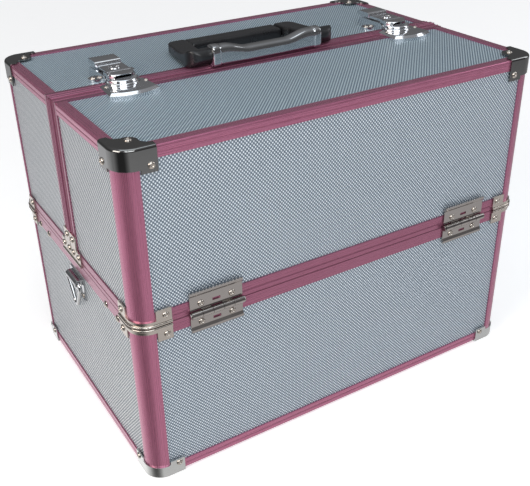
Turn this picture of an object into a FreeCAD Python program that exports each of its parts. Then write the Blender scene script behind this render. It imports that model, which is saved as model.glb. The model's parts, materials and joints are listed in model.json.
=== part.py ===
"""Makeup train case: a lower box under two half-lids that swing outward, with latches, handle and trays."""
import FreeCAD, Part
import math
import os

from FreeCAD import Vector

# Driving dimensions, in millimetres. Origin: centre of the footprint, on the ground, +Z up, front at -Y.
LENGTH = 360.0            # outside of the rails, along X
DEPTH = 244.0             # outside of the rails, along Y
TOP = 272.0               # top of the rails
PARTING = 140.0           # height of the joint between box and lids
CORNER_RADIUS = 13.5      # upright corner profiles
CAP_THICKNESS = 1.2       # pressed corner caps and brackets
RAIL_THICKNESS = 1.2
PANEL_THICKNESS = 4.0
RAIL_WIDTH = 8.6          # visible face of the top and bottom rails
LID_RIM_HEIGHT = 10.5     # visible face of the rails just above the parting line
BASE_RIM_HEIGHT = 9.3     # visible face of the rails just below it
SPLIT_FLANGE = 11.8       # visible width of each closing profile along the split
PARTING_GAP = 0.5
SPLIT_GAP = 0.6
BEAD_HEIGHT = 1.2
BEAD_WIDTH = 2.8

HINGE_X = 118.0           # centre of each hinge from the middle
HINGE_WIDTH = 42.5
BARREL_RADIUS = 2.6
PIN_RADIUS = 1.4
RUNNING = 0.05            # radial clearance of every pivot
LID_LEAF_HEIGHT = 18.2
BASE_LEAF_HEIGHT = 14.6

CAP_LEG = 27.0            # reach of corner caps and brackets along each edge
TOP_CAP_HEIGHT = 17.0     # at the riveted ends of its arms
TOP_CAP_BAND = 14.0       # round the corner
RIVET_RADIUS = 2.6
RIVET_HEIGHT = 1.2

# Latch and handle points are (y, height over the top of the rails).
LATCH_PLACES = {"left": -124.5, "right": 135.0}   # middle of each latch, along X
LATCH_HALF_WIDTH = 11.8
LATCH_HEIGHT = 10.2
LATCH_PLATE = 1.3         # plates of latch and strike, over the rails
STRIKE_RIM = 3.2          # bevelled pan of the strike
STRIKE_STEP = 4.6         # top of the boss's wide lower disc
STRIKE_HEIGHT = 7.0
STRIKE_RADII = (13.6, 12.4)
STRIKE_Y = -1.0           # centre of the boss
EAR_Y = 22.0              # rivets of the latch base
NOSE_RADIUS = 10.6
NOSE_Y = 1.4
NOSE_FOOT = 5.2
HOOK_PIVOT = (8.0, 4.0)
LEVER_PIVOT = (3.6, 8.7)
HOOK_PIN_RADIUS = 1.5
LEVER_PIN_RADIUS = 1.0
LEVER_HALF = 9.5
LEVER_REAR = 36.0
LOCK_RADIUS = 4.3
LOCK_Y = 11.2
LOCK_HEIGHTS = (6.9, 10.8)

GRIP_HALF = 48.5
GRIP_TOP = 17.6
GRIP_DIP = 4.8            # depth of the grip's saddle
HANDLE_HALF = 68.0        # half width of the handle at its front corners
HANDLE_REACH = -5.5       # y of the arms' front faces
HANDLE_PIVOT = (54.4, 4.6)
ARM_END_RADIUS = 4.3
ARM_INNER = 44.0          # inner face of the arms beside the handle's mount
HANDLE_PIN_RADIUS = 1.8
HANDLE_PIN_END = 56.0
MOUNT_HALF = 43.6
MOUNT_DEPTH = (41.5, 58.7)
MOUNT_HEIGHT = 8.0

RING_Z = 122.0
RING_WIRE = 1.7
RING_HALF = 16.0
RING_DROP = 28.0

ARM_PIVOT = (65.0, 132.0)     # y and z of the lead arms' lower pivots
FOLLOWER_OFFSET = 22.0
ARM_LEAN = 30.0               # degrees from upright with the lids shut
LOWER_ARM = 50.8              # pivot to lower tray stud
UPPER_ARM = 106.0             # pivot to upper tray stud
ARM_WIDTH = 11.0
ARM_FACES = (169.6, 171.2)    # inner and outer face of the arms, from the middle
TRAY_END = 168.8
TRAY_WALL = 2.0
TRAY_CORNER = 6.0
STUD_RADIUS = 2.0
STUD_HEAD = 3.4
LOWER_TRAY = ((8.0, 94.0), (151.0, 196.0))    # (y range, z range)
UPPER_TRAY = ((8.0, 106.0), (200.0, 246.0))
LOWER_DIVIDERS = (-84.0, 0.0, 84.0)
UPPER_DIVIDERS = (-56.0, 56.0)

HALF_X = LENGTH / 2
HALF_Y = DEPTH / 2
CENTRE_X = HALF_X - CORNER_RADIUS
CENTRE_Y = HALF_Y - CORNER_RADIUS
WALL = RAIL_THICKNESS + PANEL_THICKNESS
PROFILE = WALL + RAIL_THICKNESS
BOTTOM = CAP_THICKNESS
BASE_TOP = PARTING - PARTING_GAP / 2
LID_FOOT = PARTING + PARTING_GAP / 2
SPLIT = SPLIT_GAP / 2
RAIL_END_X = CENTRE_X - 1.0
RAIL_END_Y = CENTRE_Y - 1.0
TONGUE_GAP = 0.4
TONGUE_RISE = 6.0


# ---- shape helpers ----

def box(x, y, z):
    """Box between two values along each axis."""
    return Part.makeBox(x[1] - x[0], y[1] - y[0], z[1] - z[0], Vector(x[0], y[0], z[0]))


def level(z):
    """Map plan points to a horizontal plane."""
    return lambda u, v: Vector(u, v, z)


def across(x):
    """Map (y, z) points to a plane of constant x."""
    return lambda u, v: Vector(x, u, v)


def along(y):
    """Map (x, z) points to a plane of constant y."""
    return lambda u, v: Vector(u, y, v)


def prism(place, travel, start, *steps):
    """Extrude a closed outline. A step is an end point, or (middle, end) for an arc."""
    edges = []
    here = start
    for step in steps + (start,):
        if isinstance(step[0], tuple):
            middle, end = step
            edges.append(Part.Arc(place(*here), place(*middle), place(*end)).toShape())
        else:
            end = step
            if end != here:
                edges.append(Part.LineSegment(place(*here), place(*end)).toShape())
        here = end
    return Part.Face(Part.Wire(edges)).extrude(travel)


def rounded(half_x, half_y, radius, z):
    """Upright prism over a rounded rectangle centred on the axis."""
    if radius <= 0:
        return box((-half_x, half_x), (-half_y, half_y), z)
    cx = half_x - radius
    cy = half_y - radius
    d = radius * math.sqrt(0.5)
    return prism(level(z[0]), Vector(0, 0, z[1] - z[0]),
                 (cx, -half_y),
                 ((cx + d, -cy - d), (half_x, -cy)), (half_x, cy),
                 ((cx + d, cy + d), (cx, half_y)), (-cx, half_y),
                 ((-cx - d, cy + d), (-half_x, cy)), (-half_x, -cy),
                 ((-cx - d, -cy - d), (-cx, -half_y)))


def hull(inset, z):
    """The case's plan outline, moved inward by inset (outward if negative)."""
    return rounded(HALF_X - inset, HALF_Y - inset, CORNER_RADIUS - inset, z)


def rod(start, end, radius):
    """Round bar between two points."""
    step = Vector(*end) - Vector(*start)
    return Part.makeCylinder(radius, step.Length, Vector(*start), step)


def flip_x(shape):
    return shape.mirror(Vector(0, 0, 0), Vector(1, 0, 0))


def flip_y(shape):
    return shape.mirror(Vector(0, 0, 0), Vector(0, 1, 0))


def pair(shape):
    """The shape and its left-right twin."""
    return [shape, flip_x(shape)]


def four(shape):
    """The shape at all four corners."""
    return pair(shape) + pair(flip_y(shape))


def fuse(shapes):
    """One solid from pieces that touch."""
    joined = shapes[0].multiFuse(shapes[1:]) if len(shapes) > 1 else shapes[0]
    return joined.removeSplitter()


def cut_all(shapes, tools):
    """Each shape less all the tools."""
    return [shape.cut(Part.makeCompound(tools)) for shape in shapes]


def fillet(shape, radius, wanted):
    """Round the edges for which wanted(edge) holds."""
    return shape.makeFillet(radius, [edge for edge in shape.Edges if wanted(edge)])


def at_height(z):
    """Tell whether an edge lies in the level z."""
    def test(edge):
        return edge.BoundBox.ZMax - edge.BoundBox.ZMin < 1e-6 and abs(edge.BoundBox.ZMin - z) < 1e-6
    return test


def rivet(point, direction, radius=RIVET_RADIUS, height=RIVET_HEIGHT):
    """Domed rivet head standing on a surface."""
    ball = (radius ** 2 + height ** 2) / (2 * height)
    point = Vector(*point)
    direction = Vector(*direction)
    centre = point + direction * (height - ball)
    cap = Part.makeSphere(ball, centre)
    return cap.common(Part.makeCylinder(radius, height, point, direction))


# ---- profiles ----

def corner_post(z):
    """Rounded corner extrusion at the +X +Y corner, with flanges that hold both panels."""
    cx, cy, hx, hy = CENTRE_X, CENTRE_Y, HALF_X, HALF_Y
    outer = CORNER_RADIUS * math.sqrt(0.5)
    inner = (CORNER_RADIUS - PROFILE) * math.sqrt(0.5)
    grip = 8.0
    return prism(level(z[0]), Vector(0, 0, z[1] - z[0]),
                 (cx - 1, hy), (cx, hy),
                 ((cx + outer, cy + outer), (hx, cy)),
                 (hx, cy - 1), (hx - RAIL_THICKNESS, cy - 1), (hx - RAIL_THICKNESS, cy),
                 (hx - WALL, cy), (hx - WALL, cy - grip), (hx - PROFILE, cy - grip), (hx - PROFILE, cy),
                 ((cx + inner, cy + inner), (cx, hy - PROFILE)),
                 (cx - grip, hy - PROFILE), (cx - grip, hy - WALL), (cx, hy - WALL),
                 (cx, hy - RAIL_THICKNESS), (cx - 1, hy - RAIL_THICKNESS))


def edge_rail_points(face, edge, sign):
    """L section with a groove: face is the wall coordinate, edge the level, sign +1 for a top edge."""
    t = RAIL_THICKNESS
    w = RAIL_WIDTH
    return [(face, edge - sign * 1.6), ((face - 0.47, edge - sign * 0.47), (face - 1.6, edge)),
            (face - w, edge), (face - w, edge - sign * t), (face - t, edge - sign * t),
            (face - t, edge - sign * w), (face, edge - sign * w),
            (face, edge - sign * 5.2), (face - 0.4, edge - sign * 4.8), (face, edge - sign * 4.4)]


def long_edge_rail(edge, sign):
    """Top or bottom rail along X, on the +Y side."""
    points = edge_rail_points(HALF_Y, edge, sign)
    return prism(across(-RAIL_END_X), Vector(2 * RAIL_END_X, 0, 0), *points)


def short_edge_rail(edge, sign, y):
    """Top or bottom rail along Y, on the +X side."""
    points = edge_rail_points(HALF_X, edge, sign)
    return prism(along(y[0]), Vector(0, y[1] - y[0], 0), *points)


def base_rim_points(face):
    """Channel over the box's upper edge, with the inner tongue that the lids close around."""
    t = RAIL_THICKNESS
    tongue = face - PROFILE - TONGUE_GAP
    foot = BASE_TOP - BASE_RIM_HEIGHT
    return [(face, BASE_TOP), (face, foot), (face - t, foot), (face - t, BASE_TOP - t),
            (face - WALL, BASE_TOP - t), (face - WALL, foot), (tongue - 1, foot),
            (tongue - 1, PARTING + TONGUE_RISE), (tongue, PARTING + TONGUE_RISE), (tongue, BASE_TOP)]


def lid_rim_points(face):
    """Channel under the lid's lower edge, with a groove along its outer face."""
    t = RAIL_THICKNESS
    head = LID_FOOT + LID_RIM_HEIGHT
    return [(face, LID_FOOT), (face - PROFILE, LID_FOOT), (face - PROFILE, head), (face - WALL, head),
            (face - WALL, LID_FOOT + t), (face - t, LID_FOOT + t), (face - t, head), (face, head),
            (face, LID_FOOT + 4.6), (face - 0.5, LID_FOOT + 4.1), (face, LID_FOOT + 3.6)]


# ---- box ----

def base_panels():
    z = (BOTTOM + WALL, BASE_TOP - RAIL_THICKNESS)
    floor = hull(RAIL_THICKNESS, (BOTTOM + RAIL_THICKNESS, BOTTOM + WALL))
    back = box((-CENTRE_X, CENTRE_X), (HALF_Y - WALL, HALF_Y - RAIL_THICKNESS), z)
    side = box((HALF_X - WALL, HALF_X - RAIL_THICKNESS), (-CENTRE_Y, CENTRE_Y), z)
    return floor, back, side


def tray_pivot(y):
    """Rivet through the box's side that carries one tray arm, at +X."""
    z = ARM_PIVOT[1]
    inner = HALF_X - PROFILE - TONGUE_GAP - 1
    shank = rod((ARM_FACES[0], y, z), (HALF_X, y, z), STUD_RADIUS)
    spacer = rod((ARM_FACES[1] + 0.2, y, z), (inner, y, z), 3.6)
    tail = rod((ARM_FACES[0] - 1.0, y, z), (ARM_FACES[0] - 0.2, y, z), 3.4)
    neck = rod((ARM_FACES[0] - 0.2, y, z), (ARM_FACES[0], y, z), STUD_RADIUS)
    head = rivet((HALF_X, y, z), (1, 0, 0), 3.0, 1.4)
    return fuse([shank, spacer, tail, neck, head])


def tray_pivot_rows():
    return [ARM_PIVOT[0], ARM_PIVOT[0] + FOLLOWER_OFFSET]


def base_rim_rails(posts, pivots):
    long_rail = prism(across(-RAIL_END_X), Vector(2 * RAIL_END_X, 0, 0), *base_rim_points(HALF_Y))
    short_rail = prism(along(-RAIL_END_Y), Vector(0, 2 * RAIL_END_Y, 0), *base_rim_points(HALF_X))
    return cut_all([long_rail, flip_y(long_rail)] + pair(short_rail), posts + pivots)


def base_lining():
    """Black inner skin: floor and four walls."""
    z = (BOTTOM + WALL, BASE_TOP - BASE_RIM_HEIGHT - 0.5)
    return hull(PROFILE, z).cut(hull(PROFILE + 1, (z[0] + 1, z[1] + 1)))


# ---- pressed corner hardware, all drawn at the +X +Y corner ----

def corner_zone(leg, z):
    return box((HALF_X - leg, HALF_X + 5), (HALF_Y - leg, HALF_Y + 5), z)


def cap_plate_zone(z):
    """Plan of a corner cap's flat face: two arms with a riveted lobe between them."""
    hx, hy = HALF_X, HALF_Y
    return prism(level(z[0]), Vector(0, 0, z[1] - z[0]),
                 (hx + 3, hy + 3), (hx - CAP_LEG, hy + 3), (hx - CAP_LEG, hy - 5),
                 ((hx - 21.8, hy - 7.6), (hx - 20.5, hy - 13)),
                 ((hx - 18.65, hy - 18.65), (hx - 13, hy - 20.5)),
                 ((hx - 7.6, hy - 21.8), (hx - 5, hy - CAP_LEG)),
                 (hx + 3, hy - CAP_LEG))


def arm_lobe_zone(z):
    """Zone of the taller riveted ends of a bracket's two arms."""
    near = 15.0
    x_arm = box((HALF_X - CAP_LEG, HALF_X - near), (HALF_Y - 1, HALF_Y + 5), z)
    y_arm = box((HALF_X - 1, HALF_X + 5), (HALF_Y - CAP_LEG, HALF_Y - near), z)
    return x_arm.fuse(y_arm)


def top_corner_cap():
    z = (TOP - TOP_CAP_HEIGHT, TOP + CAP_THICKNESS)
    outer = fillet(hull(-CAP_THICKNESS, z), 2.2, at_height(z[1]))
    shell = outer.cut(hull(0, (z[0] - 1, TOP)))
    walls = shell.common(corner_zone(CAP_LEG, (TOP - TOP_CAP_BAND, TOP)))
    ends = shell.common(arm_lobe_zone((z[0], TOP)))
    plate = shell.common(cap_plate_zone((TOP, z[1])))
    return fuse([walls, ends, plate])


def bottom_corner_cap():
    z = (0, 14.0)
    low_wall = 10.6
    outer = fillet(hull(-CAP_THICKNESS, z), 1.4, at_height(0))
    shell = outer.cut(hull(0, (BOTTOM, z[1] + 1)))
    walls = shell.common(corner_zone(CAP_LEG, (BOTTOM, low_wall)))
    ends = shell.common(arm_lobe_zone((BOTTOM, z[1])))
    plate = shell.common(cap_plate_zone((0, BOTTOM)))
    return fuse([walls, ends, plate])


def rim_bracket(edge, sign):
    """Bracket beside the parting line: a band round the corner, riveted arms and a rolled lip."""
    def heights(reach):
        return tuple(sorted((edge, edge + sign * reach)))
    outer = hull(-CAP_THICKNESS, heights(12.5))
    shell = outer.cut(hull(0, (edge - 20, edge + 20)))
    band = shell.common(corner_zone(CAP_LEG, heights(4.6)))
    ends = shell.common(arm_lobe_zone(heights(12.5)))
    lip_heights = heights(2.0)
    lip = hull(-CAP_THICKNESS - 1.0, lip_heights)
    for z in lip_heights:
        lip = fillet(lip, 0.8, at_height(z))
    lip = lip.cut(hull(0, (edge - 20, edge + 20))).common(corner_zone(CAP_LEG, lip_heights))
    return fuse([band, ends, lip])


def arm_rivets(z, offset=CAP_THICKNESS, inboard=4.6):
    """The two rivets at the ends of a bracket's arms."""
    reach = CAP_LEG - inboard
    return [rivet((HALF_X - reach, HALF_Y + offset, z), (0, 1, 0)),
            rivet((HALF_X + offset, HALF_Y - reach, z), (1, 0, 0))]


# ---- hinges, drawn for the back at +X ----

def hinge_axis_y():
    return HALF_Y + BARREL_RADIUS


def hinge_leaf(sign, knuckles):
    """One leaf with its share of the barrel; sign +1 for the lid's leaf."""
    left = HINGE_X - HINGE_WIDTH / 2
    width = HINGE_WIDTH / 5
    gap = 0.15

    end = LID_LEAF_HEIGHT if sign > 0 else BASE_LEAF_HEIGHT

    def z(value):
        return PARTING + sign * value

    plate = prism(across(left), Vector(HINGE_WIDTH, 0, 0),
                  (HALF_Y, z(3.1)), (HALF_Y + 1.2, z(3.1)), (HALF_Y + 1.2, z(end - 3.9)),
                  (HALF_Y + 2.6, z(end - 1.9)), (HALF_Y + 2.6, z(end)), (HALF_Y + 1.2, z(end)),
                  (HALF_Y, z(end - 2.3)))
    parts = [plate]
    for index in knuckles:
        x = (left + index * width + gap, left + (index + 1) * width - gap)
        parts.append(rod((x[0], hinge_axis_y(), PARTING), (x[1], hinge_axis_y(), PARTING), BARREL_RADIUS))
        parts.append(box(x, (HALF_Y, HALF_Y + 1.2), sorted((z(0.3), z(3.4)))))
    leaf = fuse(parts)
    bore = rod((left - 5, hinge_axis_y(), PARTING), (left + HINGE_WIDTH + 5, hinge_axis_y(), PARTING),
               PIN_RADIUS + RUNNING)
    slot_z = sorted((z(6.6), z(8.8)))
    slot = box((HINGE_X - 3.2, HINGE_X + 3.2), (HALF_Y - 1, HALF_Y + 3), slot_z)
    return leaf.cut(bore).cut(slot)


def hinge_pin():
    half = HINGE_WIDTH / 2 + 0.8
    y = hinge_axis_y()
    shank = rod((HINGE_X - half, y, PARTING), (HINGE_X + half, y, PARTING), PIN_RADIUS)
    heads = []
    for side in (-1, 1):
        end = HINGE_X + side * (HINGE_WIDTH / 2 + 0.1)
        heads.append(rod((end, y, PARTING), (end + side * 0.9, y, PARTING), 2.3))
    return fuse([shank] + heads)


def leaf_rivets(sign):
    rivets = []
    for dx in (-12.5, 12.5):
        point = (HINGE_X + dx, HALF_Y + 1.2, PARTING + sign * 7.7)
        rivets.append(rivet(point, (0, 1, 0)))
    return rivets


# ---- lids, drawn for the back half ----

def split_section(face, sign):
    """Closing profile in (y, outward level): flange, ribs, rounded bead, web and inner flange."""
    def out(value):
        return face + sign * value
    middle = SPLIT + BEAD_WIDTH / 2
    return [(SPLIT, out(-PROFILE)), (SPLIT, out(0.2)),
            ((middle, out(BEAD_HEIGHT)), (SPLIT + BEAD_WIDTH, out(0.2))), (SPLIT + BEAD_WIDTH, out(0)),
            (6.4, out(0)), ((7.2, out(0.5)), (8.0, out(0))), (SPLIT_FLANGE, out(0)),
            (SPLIT_FLANGE, out(-RAIL_THICKNESS)), (SPLIT + 1.2, out(-RAIL_THICKNESS)),
            (SPLIT + 1.2, out(-WALL)), (8.0, out(-WALL)), (8.0, out(-PROFILE))]


def split_frame(panels):
    """Inverted U of closing profile round the lid's open edge, holding the panels' edges."""
    across_top = prism(across(-HALF_X), Vector(LENGTH, 0, 0), *split_section(TOP, 1))

    def upright(u, v):
        return Vector(v, u, LID_FOOT)
    leg = prism(upright, Vector(0, 0, TOP - LID_FOOT), *split_section(HALF_X, 1))
    bead_end = LID_FOOT + 24.5
    leg = leg.cut(box((HALF_X, HALF_X + 3), (0, SPLIT_FLANGE + 1), (LID_FOOT - 1, bead_end)))
    return fuse([across_top] + pair(leg)).cut(Part.makeCompound(panels))


def lid_panels():
    z = (LID_FOOT + RAIL_THICKNESS, TOP - WALL)
    wall = box((-CENTRE_X, CENTRE_X), (HALF_Y - WALL, HALF_Y - RAIL_THICKNESS), z)
    top = hull(RAIL_THICKNESS, (TOP - WALL, TOP - RAIL_THICKNESS))
    top = top.common(box((-HALF_X, HALF_X), (SPLIT + 1.2, HALF_Y), (0, TOP)))
    side = box((HALF_X - WALL, HALF_X - RAIL_THICKNESS), (SPLIT + 1.2, CENTRE_Y), z)
    return wall, top, side


def lid_rim_rails(posts, frame):
    long_rail = prism(across(-RAIL_END_X), Vector(2 * RAIL_END_X, 0, 0), *lid_rim_points(HALF_Y))
    short_rail = prism(along(SPLIT), Vector(0, RAIL_END_Y - SPLIT, 0), *lid_rim_points(HALF_X))
    return cut_all([long_rail] + pair(short_rail), posts + [frame])


def lid_lining():
    """Black inner skin under the top and down the three walls."""
    z = (LID_FOOT + LID_RIM_HEIGHT + 0.5, TOP - WALL)
    start = 8.5
    half = box((-HALF_X, HALF_X), (start, HALF_Y), z)
    inner = hull(PROFILE + 1, (z[0] - 1, z[1] - 1))
    return hull(PROFILE, z).common(half).cut(inner)


def centre_bracket():
    """L-shaped plate at the foot of the split, on the +X end."""
    z = LID_FOOT + 0.1
    plate = prism(along(SPLIT + 0.2), Vector(0, 19.5, 0),
                  (HALF_X, z), (HALF_X + 1.0, z),
                  ((HALF_X + 2.0, z + 0.9), (HALF_X + CAP_THICKNESS, z + 1.9)),
                  (HALF_X + CAP_THICKNESS, z + 11.6), (HALF_X, z + 11.6))
    leg = box((HALF_X, HALF_X + CAP_THICKNESS), (SPLIT + 0.2, 12.0), (z + 8, z + 24))
    return fuse([plate, leg])


def centre_rivets():
    x = HALF_X + CAP_THICKNESS
    return [rivet((x, 15.6, PARTING + 7.6), (1, 0, 0)), rivet((x, 6.0, PARTING + 19.5), (1, 0, 0)),
            rivet((x, 4.6, PARTING + 7.6), (1, 0, 0))]


def lid_parts():
    """Everything that both half-lids share, as name to list of solids, for the back half."""
    posts = pair(corner_post((LID_FOOT, TOP - WALL)))
    wall, top, side = lid_panels()
    frame = split_frame([top] + pair(side))
    rivets = arm_rivets(TOP - 12.0) + arm_rivets(PARTING + 8.0) + leaf_rivets(1) + centre_rivets()
    rivets.append(rivet((HALF_X - 14.5, HALF_Y - 14.5, TOP + CAP_THICKNESS), (0, 0, 1)))
    short_top = short_edge_rail(TOP, 1, (SPLIT_FLANGE, RAIL_END_Y))
    return {
        "wall_panel": [wall],
        "top_panel": [top],
        "side_panels": pair(side),
        "corner_posts": posts,
        "top_rails": [long_edge_rail(TOP, 1)] + pair(short_top),
        "rim_rails": lid_rim_rails(posts, frame),
        "split_frame": [frame],
        "corner_caps": pair(top_corner_cap()),
        "rim_brackets": pair(rim_bracket(LID_FOOT + 0.1, 1)) + pair(centre_bracket()),
        "hinge_leaves": pair(hinge_leaf(1, (1, 3))),
        "lining": [lid_lining()],
        "rivets": [twin for one in rivets for twin in pair(one)],
    }


# ---- latches: strike on the front lid, the rest on the back lid; drawn at x = 0 ----

def over(height):
    """Level of a height over the top of the rails."""
    return TOP + height


def side_view(x, *steps):
    """Prism between two x values over a (y, height) outline."""
    def place(u, v):
        return Vector(x[0], u, over(v))
    return prism(place, Vector(x[1] - x[0], 0, 0), *steps)


def cross_rod(half, pivot, radius):
    """Rod along X through a (y, height) point."""
    y, z = pivot[0], over(pivot[1])
    return rod((-half, y, z), (half, y, z), radius)


def disc(radius, heights, y):
    return Part.makeCylinder(radius, heights[1] - heights[0], Vector(0, y, over(heights[0])))


def latch_strike():
    """Bevelled plate and stepped boss on the front lid; the boss slopes back so the lid can swing."""
    plate = prism(level(TOP - RAIL_THICKNESS), Vector(0, 0, RAIL_THICKNESS + STRIKE_RIM),
                  (-17.5, -SPLIT - 0.2), (-19.5, -25.0), ((0, -30.5), (19.5, -25.0)), (17.5, -SPLIT - 0.2))
    rim = over(STRIKE_RIM)
    plate = plate.makeChamfer(1.9, [edge for edge in plate.Edges if at_height(rim)(edge)])
    lower = disc(STRIKE_RADII[0], (LATCH_PLATE, STRIKE_STEP), STRIKE_Y)
    lower = fillet(lower, 1.2, at_height(over(STRIKE_STEP)))
    upper = disc(STRIKE_RADII[1], (STRIKE_STEP, STRIKE_HEIGHT), STRIKE_Y)
    upper = fillet(upper, 1.4, at_height(over(STRIKE_HEIGHT)))
    keep = side_view((-20, 20), (-0.9, LATCH_PLATE), (-7.3, STRIKE_HEIGHT), (-20, STRIKE_HEIGHT),
                     (-20, LATCH_PLATE))
    return fuse([plate, lower.fuse(upper).common(keep)])


def latch_base():
    """Channel-shaped base with two side rails, riveted ears and the hook's pivot pin."""
    w = LATCH_HALF_WIDTH
    ear = EAR_Y
    plate = prism(level(TOP - RAIL_THICKNESS), Vector(0, 0, RAIL_THICKNESS + LATCH_PLATE),
                  (-w, SPLIT + 0.2), (w, SPLIT + 0.2), (w, ear - 6), ((w + 6, ear), (w, ear + 6)),
                  (w, LEVER_REAR), (-w, LEVER_REAR), (-w, ear + 6), ((-w - 6, ear), (-w, ear - 6)))
    rails = []
    for side in (-1, 1):
        cheek = sorted((side * (w - 1.2), side * w))
        rails.append(side_view(cheek, (2.5, LATCH_PLATE), (2.5, 4.6), ((4.0, 6.9), (7, 7.4)),
                               (31, 7.4), ((34.6, 6.0), (LEVER_REAR, LATCH_PLATE))))
    return fuse([plate, cross_rod(w, HOOK_PIVOT, HOOK_PIN_RADIUS)] + rails)


def latch_hook():
    """Nose that reaches over the strike, carried on the base's pin, with the lever's trunnion."""
    half = LATCH_HALF_WIDTH - 1.5
    pin_y, pin_h = HOOK_PIVOT
    shoulder = 2.3        # round the pin
    nose = disc(NOSE_RADIUS, (NOSE_FOOT, LATCH_HEIGHT), NOSE_Y)
    nose = fillet(nose, 1.4, at_height(over(LATCH_HEIGHT)))
    slope = side_view((-20, 20), (0.6, 1.8), (-9.6, 11.3), (-12, 20), (1.6, 20), (1.6, 1.8))
    block = side_view((-half, half), (0.6, 1.8), (pin_y, pin_h - shoulder),
                      ((pin_y + shoulder, pin_h), (pin_y, pin_h + shoulder)), (5.6, 6.6), (-4.5, 6.6))
    lugs = []
    for side in (-1, 1):
        cheek = sorted((side * 9.8, side * 11.2))
        lugs.append(side_view(cheek, (0.0, 7.7), (5.0, 7.7), ((6.0, 8.9), (4.6, LATCH_HEIGHT)),
                              (0.0, LATCH_HEIGHT)))
    bridge = box((-11.2, 11.2), (-1.5, 1.4), (over(6.4), over(LATCH_HEIGHT)))
    trunnion = cross_rod(11.2, LEVER_PIVOT, LEVER_PIN_RADIUS)
    bore = cross_rod(20, HOOK_PIVOT, HOOK_PIN_RADIUS + RUNNING)
    return fuse([nose.common(slope), block, bridge, trunnion] + lugs).cut(bore)


def latch_lever():
    """Flat lever with a raised thumb tab at its rear end, skirts, and a hole for the lock."""
    knuckle_y, knuckle_h = LEVER_PIVOT
    reach = LATCH_HEIGHT - knuckle_h
    foot = knuckle_h - reach
    plate = side_view((-LEVER_HALF, LEVER_HALF), (knuckle_y, foot), (LEVER_REAR, foot),
                      (LEVER_REAR, LATCH_HEIGHT), (knuckle_y, LATCH_HEIGHT),
                      ((knuckle_y - reach, knuckle_h), (knuckle_y, foot)))
    tab = side_view((-LEVER_HALF - 0.8, LEVER_HALF + 0.8), (24.0, 8.4), (38.5, 8.4),
                    ((39.8, 10.6), (38.2, 12.4)), (25.6, 12.4), ((24.2, 11.4), (24.0, 10.0)))
    skirts = []
    for side in (-1, 1):
        cheek = sorted((side * 7.6, side * LEVER_HALF))
        skirts.append(box(cheek, (16, 31), (over(2.6), over(knuckle_h))))
    bore = cross_rod(20, LEVER_PIVOT, LEVER_PIN_RADIUS + RUNNING)
    hole = disc(LOCK_RADIUS + RUNNING, (0, 20), LOCK_Y)
    return fuse([plate, tab] + skirts).cut(bore).cut(hole)


def lock_cylinder():
    """Key plug with its slot and two small holes."""
    foot, face = LOCK_HEIGHTS
    deep = 3.0
    plug = fillet(disc(LOCK_RADIUS, LOCK_HEIGHTS, LOCK_Y), 0.4, at_height(over(face)))
    cuts = [box((-2.4, 2.4), (LOCK_Y - 0.5, LOCK_Y + 0.5), (over(face - deep), over(face + 1)))]
    for x in (-2.4, 2.4):
        cuts.append(rod((x, LOCK_Y, over(face - deep)), (x, LOCK_Y, over(face + 1)), 1.0))
    return plug.cut(fuse(cuts))


def beside(shape, x):
    """Copy of a shape moved along X."""
    copy = shape.copy()
    copy.translate(Vector(x, 0, 0))
    return copy


def at_latches(shape):
    return [beside(shape, x) for x in LATCH_PLACES.values()]


# ---- handle, on the back lid ----

def handle_mount():
    """Black bar on the lid between the arms' rear ends, with the pivot pins."""
    z = (TOP - RAIL_THICKNESS, over(MOUNT_HEIGHT))
    bar = box((-MOUNT_HALF, MOUNT_HALF), MOUNT_DEPTH, z)
    bar = fillet(bar, 2.4, at_height(z[1]))
    return fuse([bar, cross_rod(HANDLE_PIN_END, HANDLE_PIVOT, HANDLE_PIN_RADIUS)])


def handle_arm():
    """Black arm at +X: bulky shoulder beside the grip, tapering back to its pivot."""
    pivot_y, pivot_h = HANDLE_PIVOT
    rear = pivot_y + ARM_END_RADIUS
    plan = prism(level(TOP), Vector(0, 0, 20), (GRIP_HALF, HANDLE_REACH), (56.5, HANDLE_REACH),
                 ((64.4, -2.6), (HANDLE_HALF, 7)), (62.0, 46.0), ((58.6, 55.2), (50.5, rear)),
                 (ARM_INNER, rear), (ARM_INNER, 42.0), ((44.6, 39.0), (46.4, 35.0)), (GRIP_HALF, 12))
    side = side_view((0, 100), (HANDLE_REACH, 7.4), (-2.6, 4.2), (0.6, 1.6),
                     (pivot_y, pivot_h - ARM_END_RADIUS),
                     ((rear, pivot_h), (pivot_y, pivot_h + ARM_END_RADIUS)), (30, 9.2),
                     ((15, 10.6), (4, 14.6)), ((-3.2, 14.2), (HANDLE_REACH, 9.0)))
    bore = cross_rod(HANDLE_PIN_END + 0.3, HANDLE_PIVOT, HANDLE_PIN_RADIUS + RUNNING)
    return plan.common(side).cut(bore)


def handle_grip():
    """Bright grip bar between the arms, with a saddle along its top."""
    top = GRIP_TOP
    low = GRIP_TOP - GRIP_DIP
    bar = side_view((-GRIP_HALF, GRIP_HALF), (1.6, 3.0), (-2.8, 4.2), ((-6.2, 8.4), (-8.0, 12)),
                    ((-6.6, 16.2), (-2.6, top)), ((1.4, 16.8), (3.0, 13.4)), (3.0, 4.6))
    saddle = prism(lambda u, v: Vector(u, -20, over(v)), Vector(0, 40, 0),
                   (40.0, top), ((34.4, top - 0.6), (29.0, top - 2.4)), ((23.6, low + 0.6), (18.0, low)),
                   (-18.0, low), ((-23.6, low + 0.6), (-29.0, top - 2.4)),
                   ((-34.4, top - 0.6), (-40.0, top)), (-40.0, top + 8), (40.0, top + 8))
    return bar.cut(saddle)


# ---- strap rings, drawn at +X ----

def ring_axis_x():
    return HALF_X + 3.0


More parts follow.
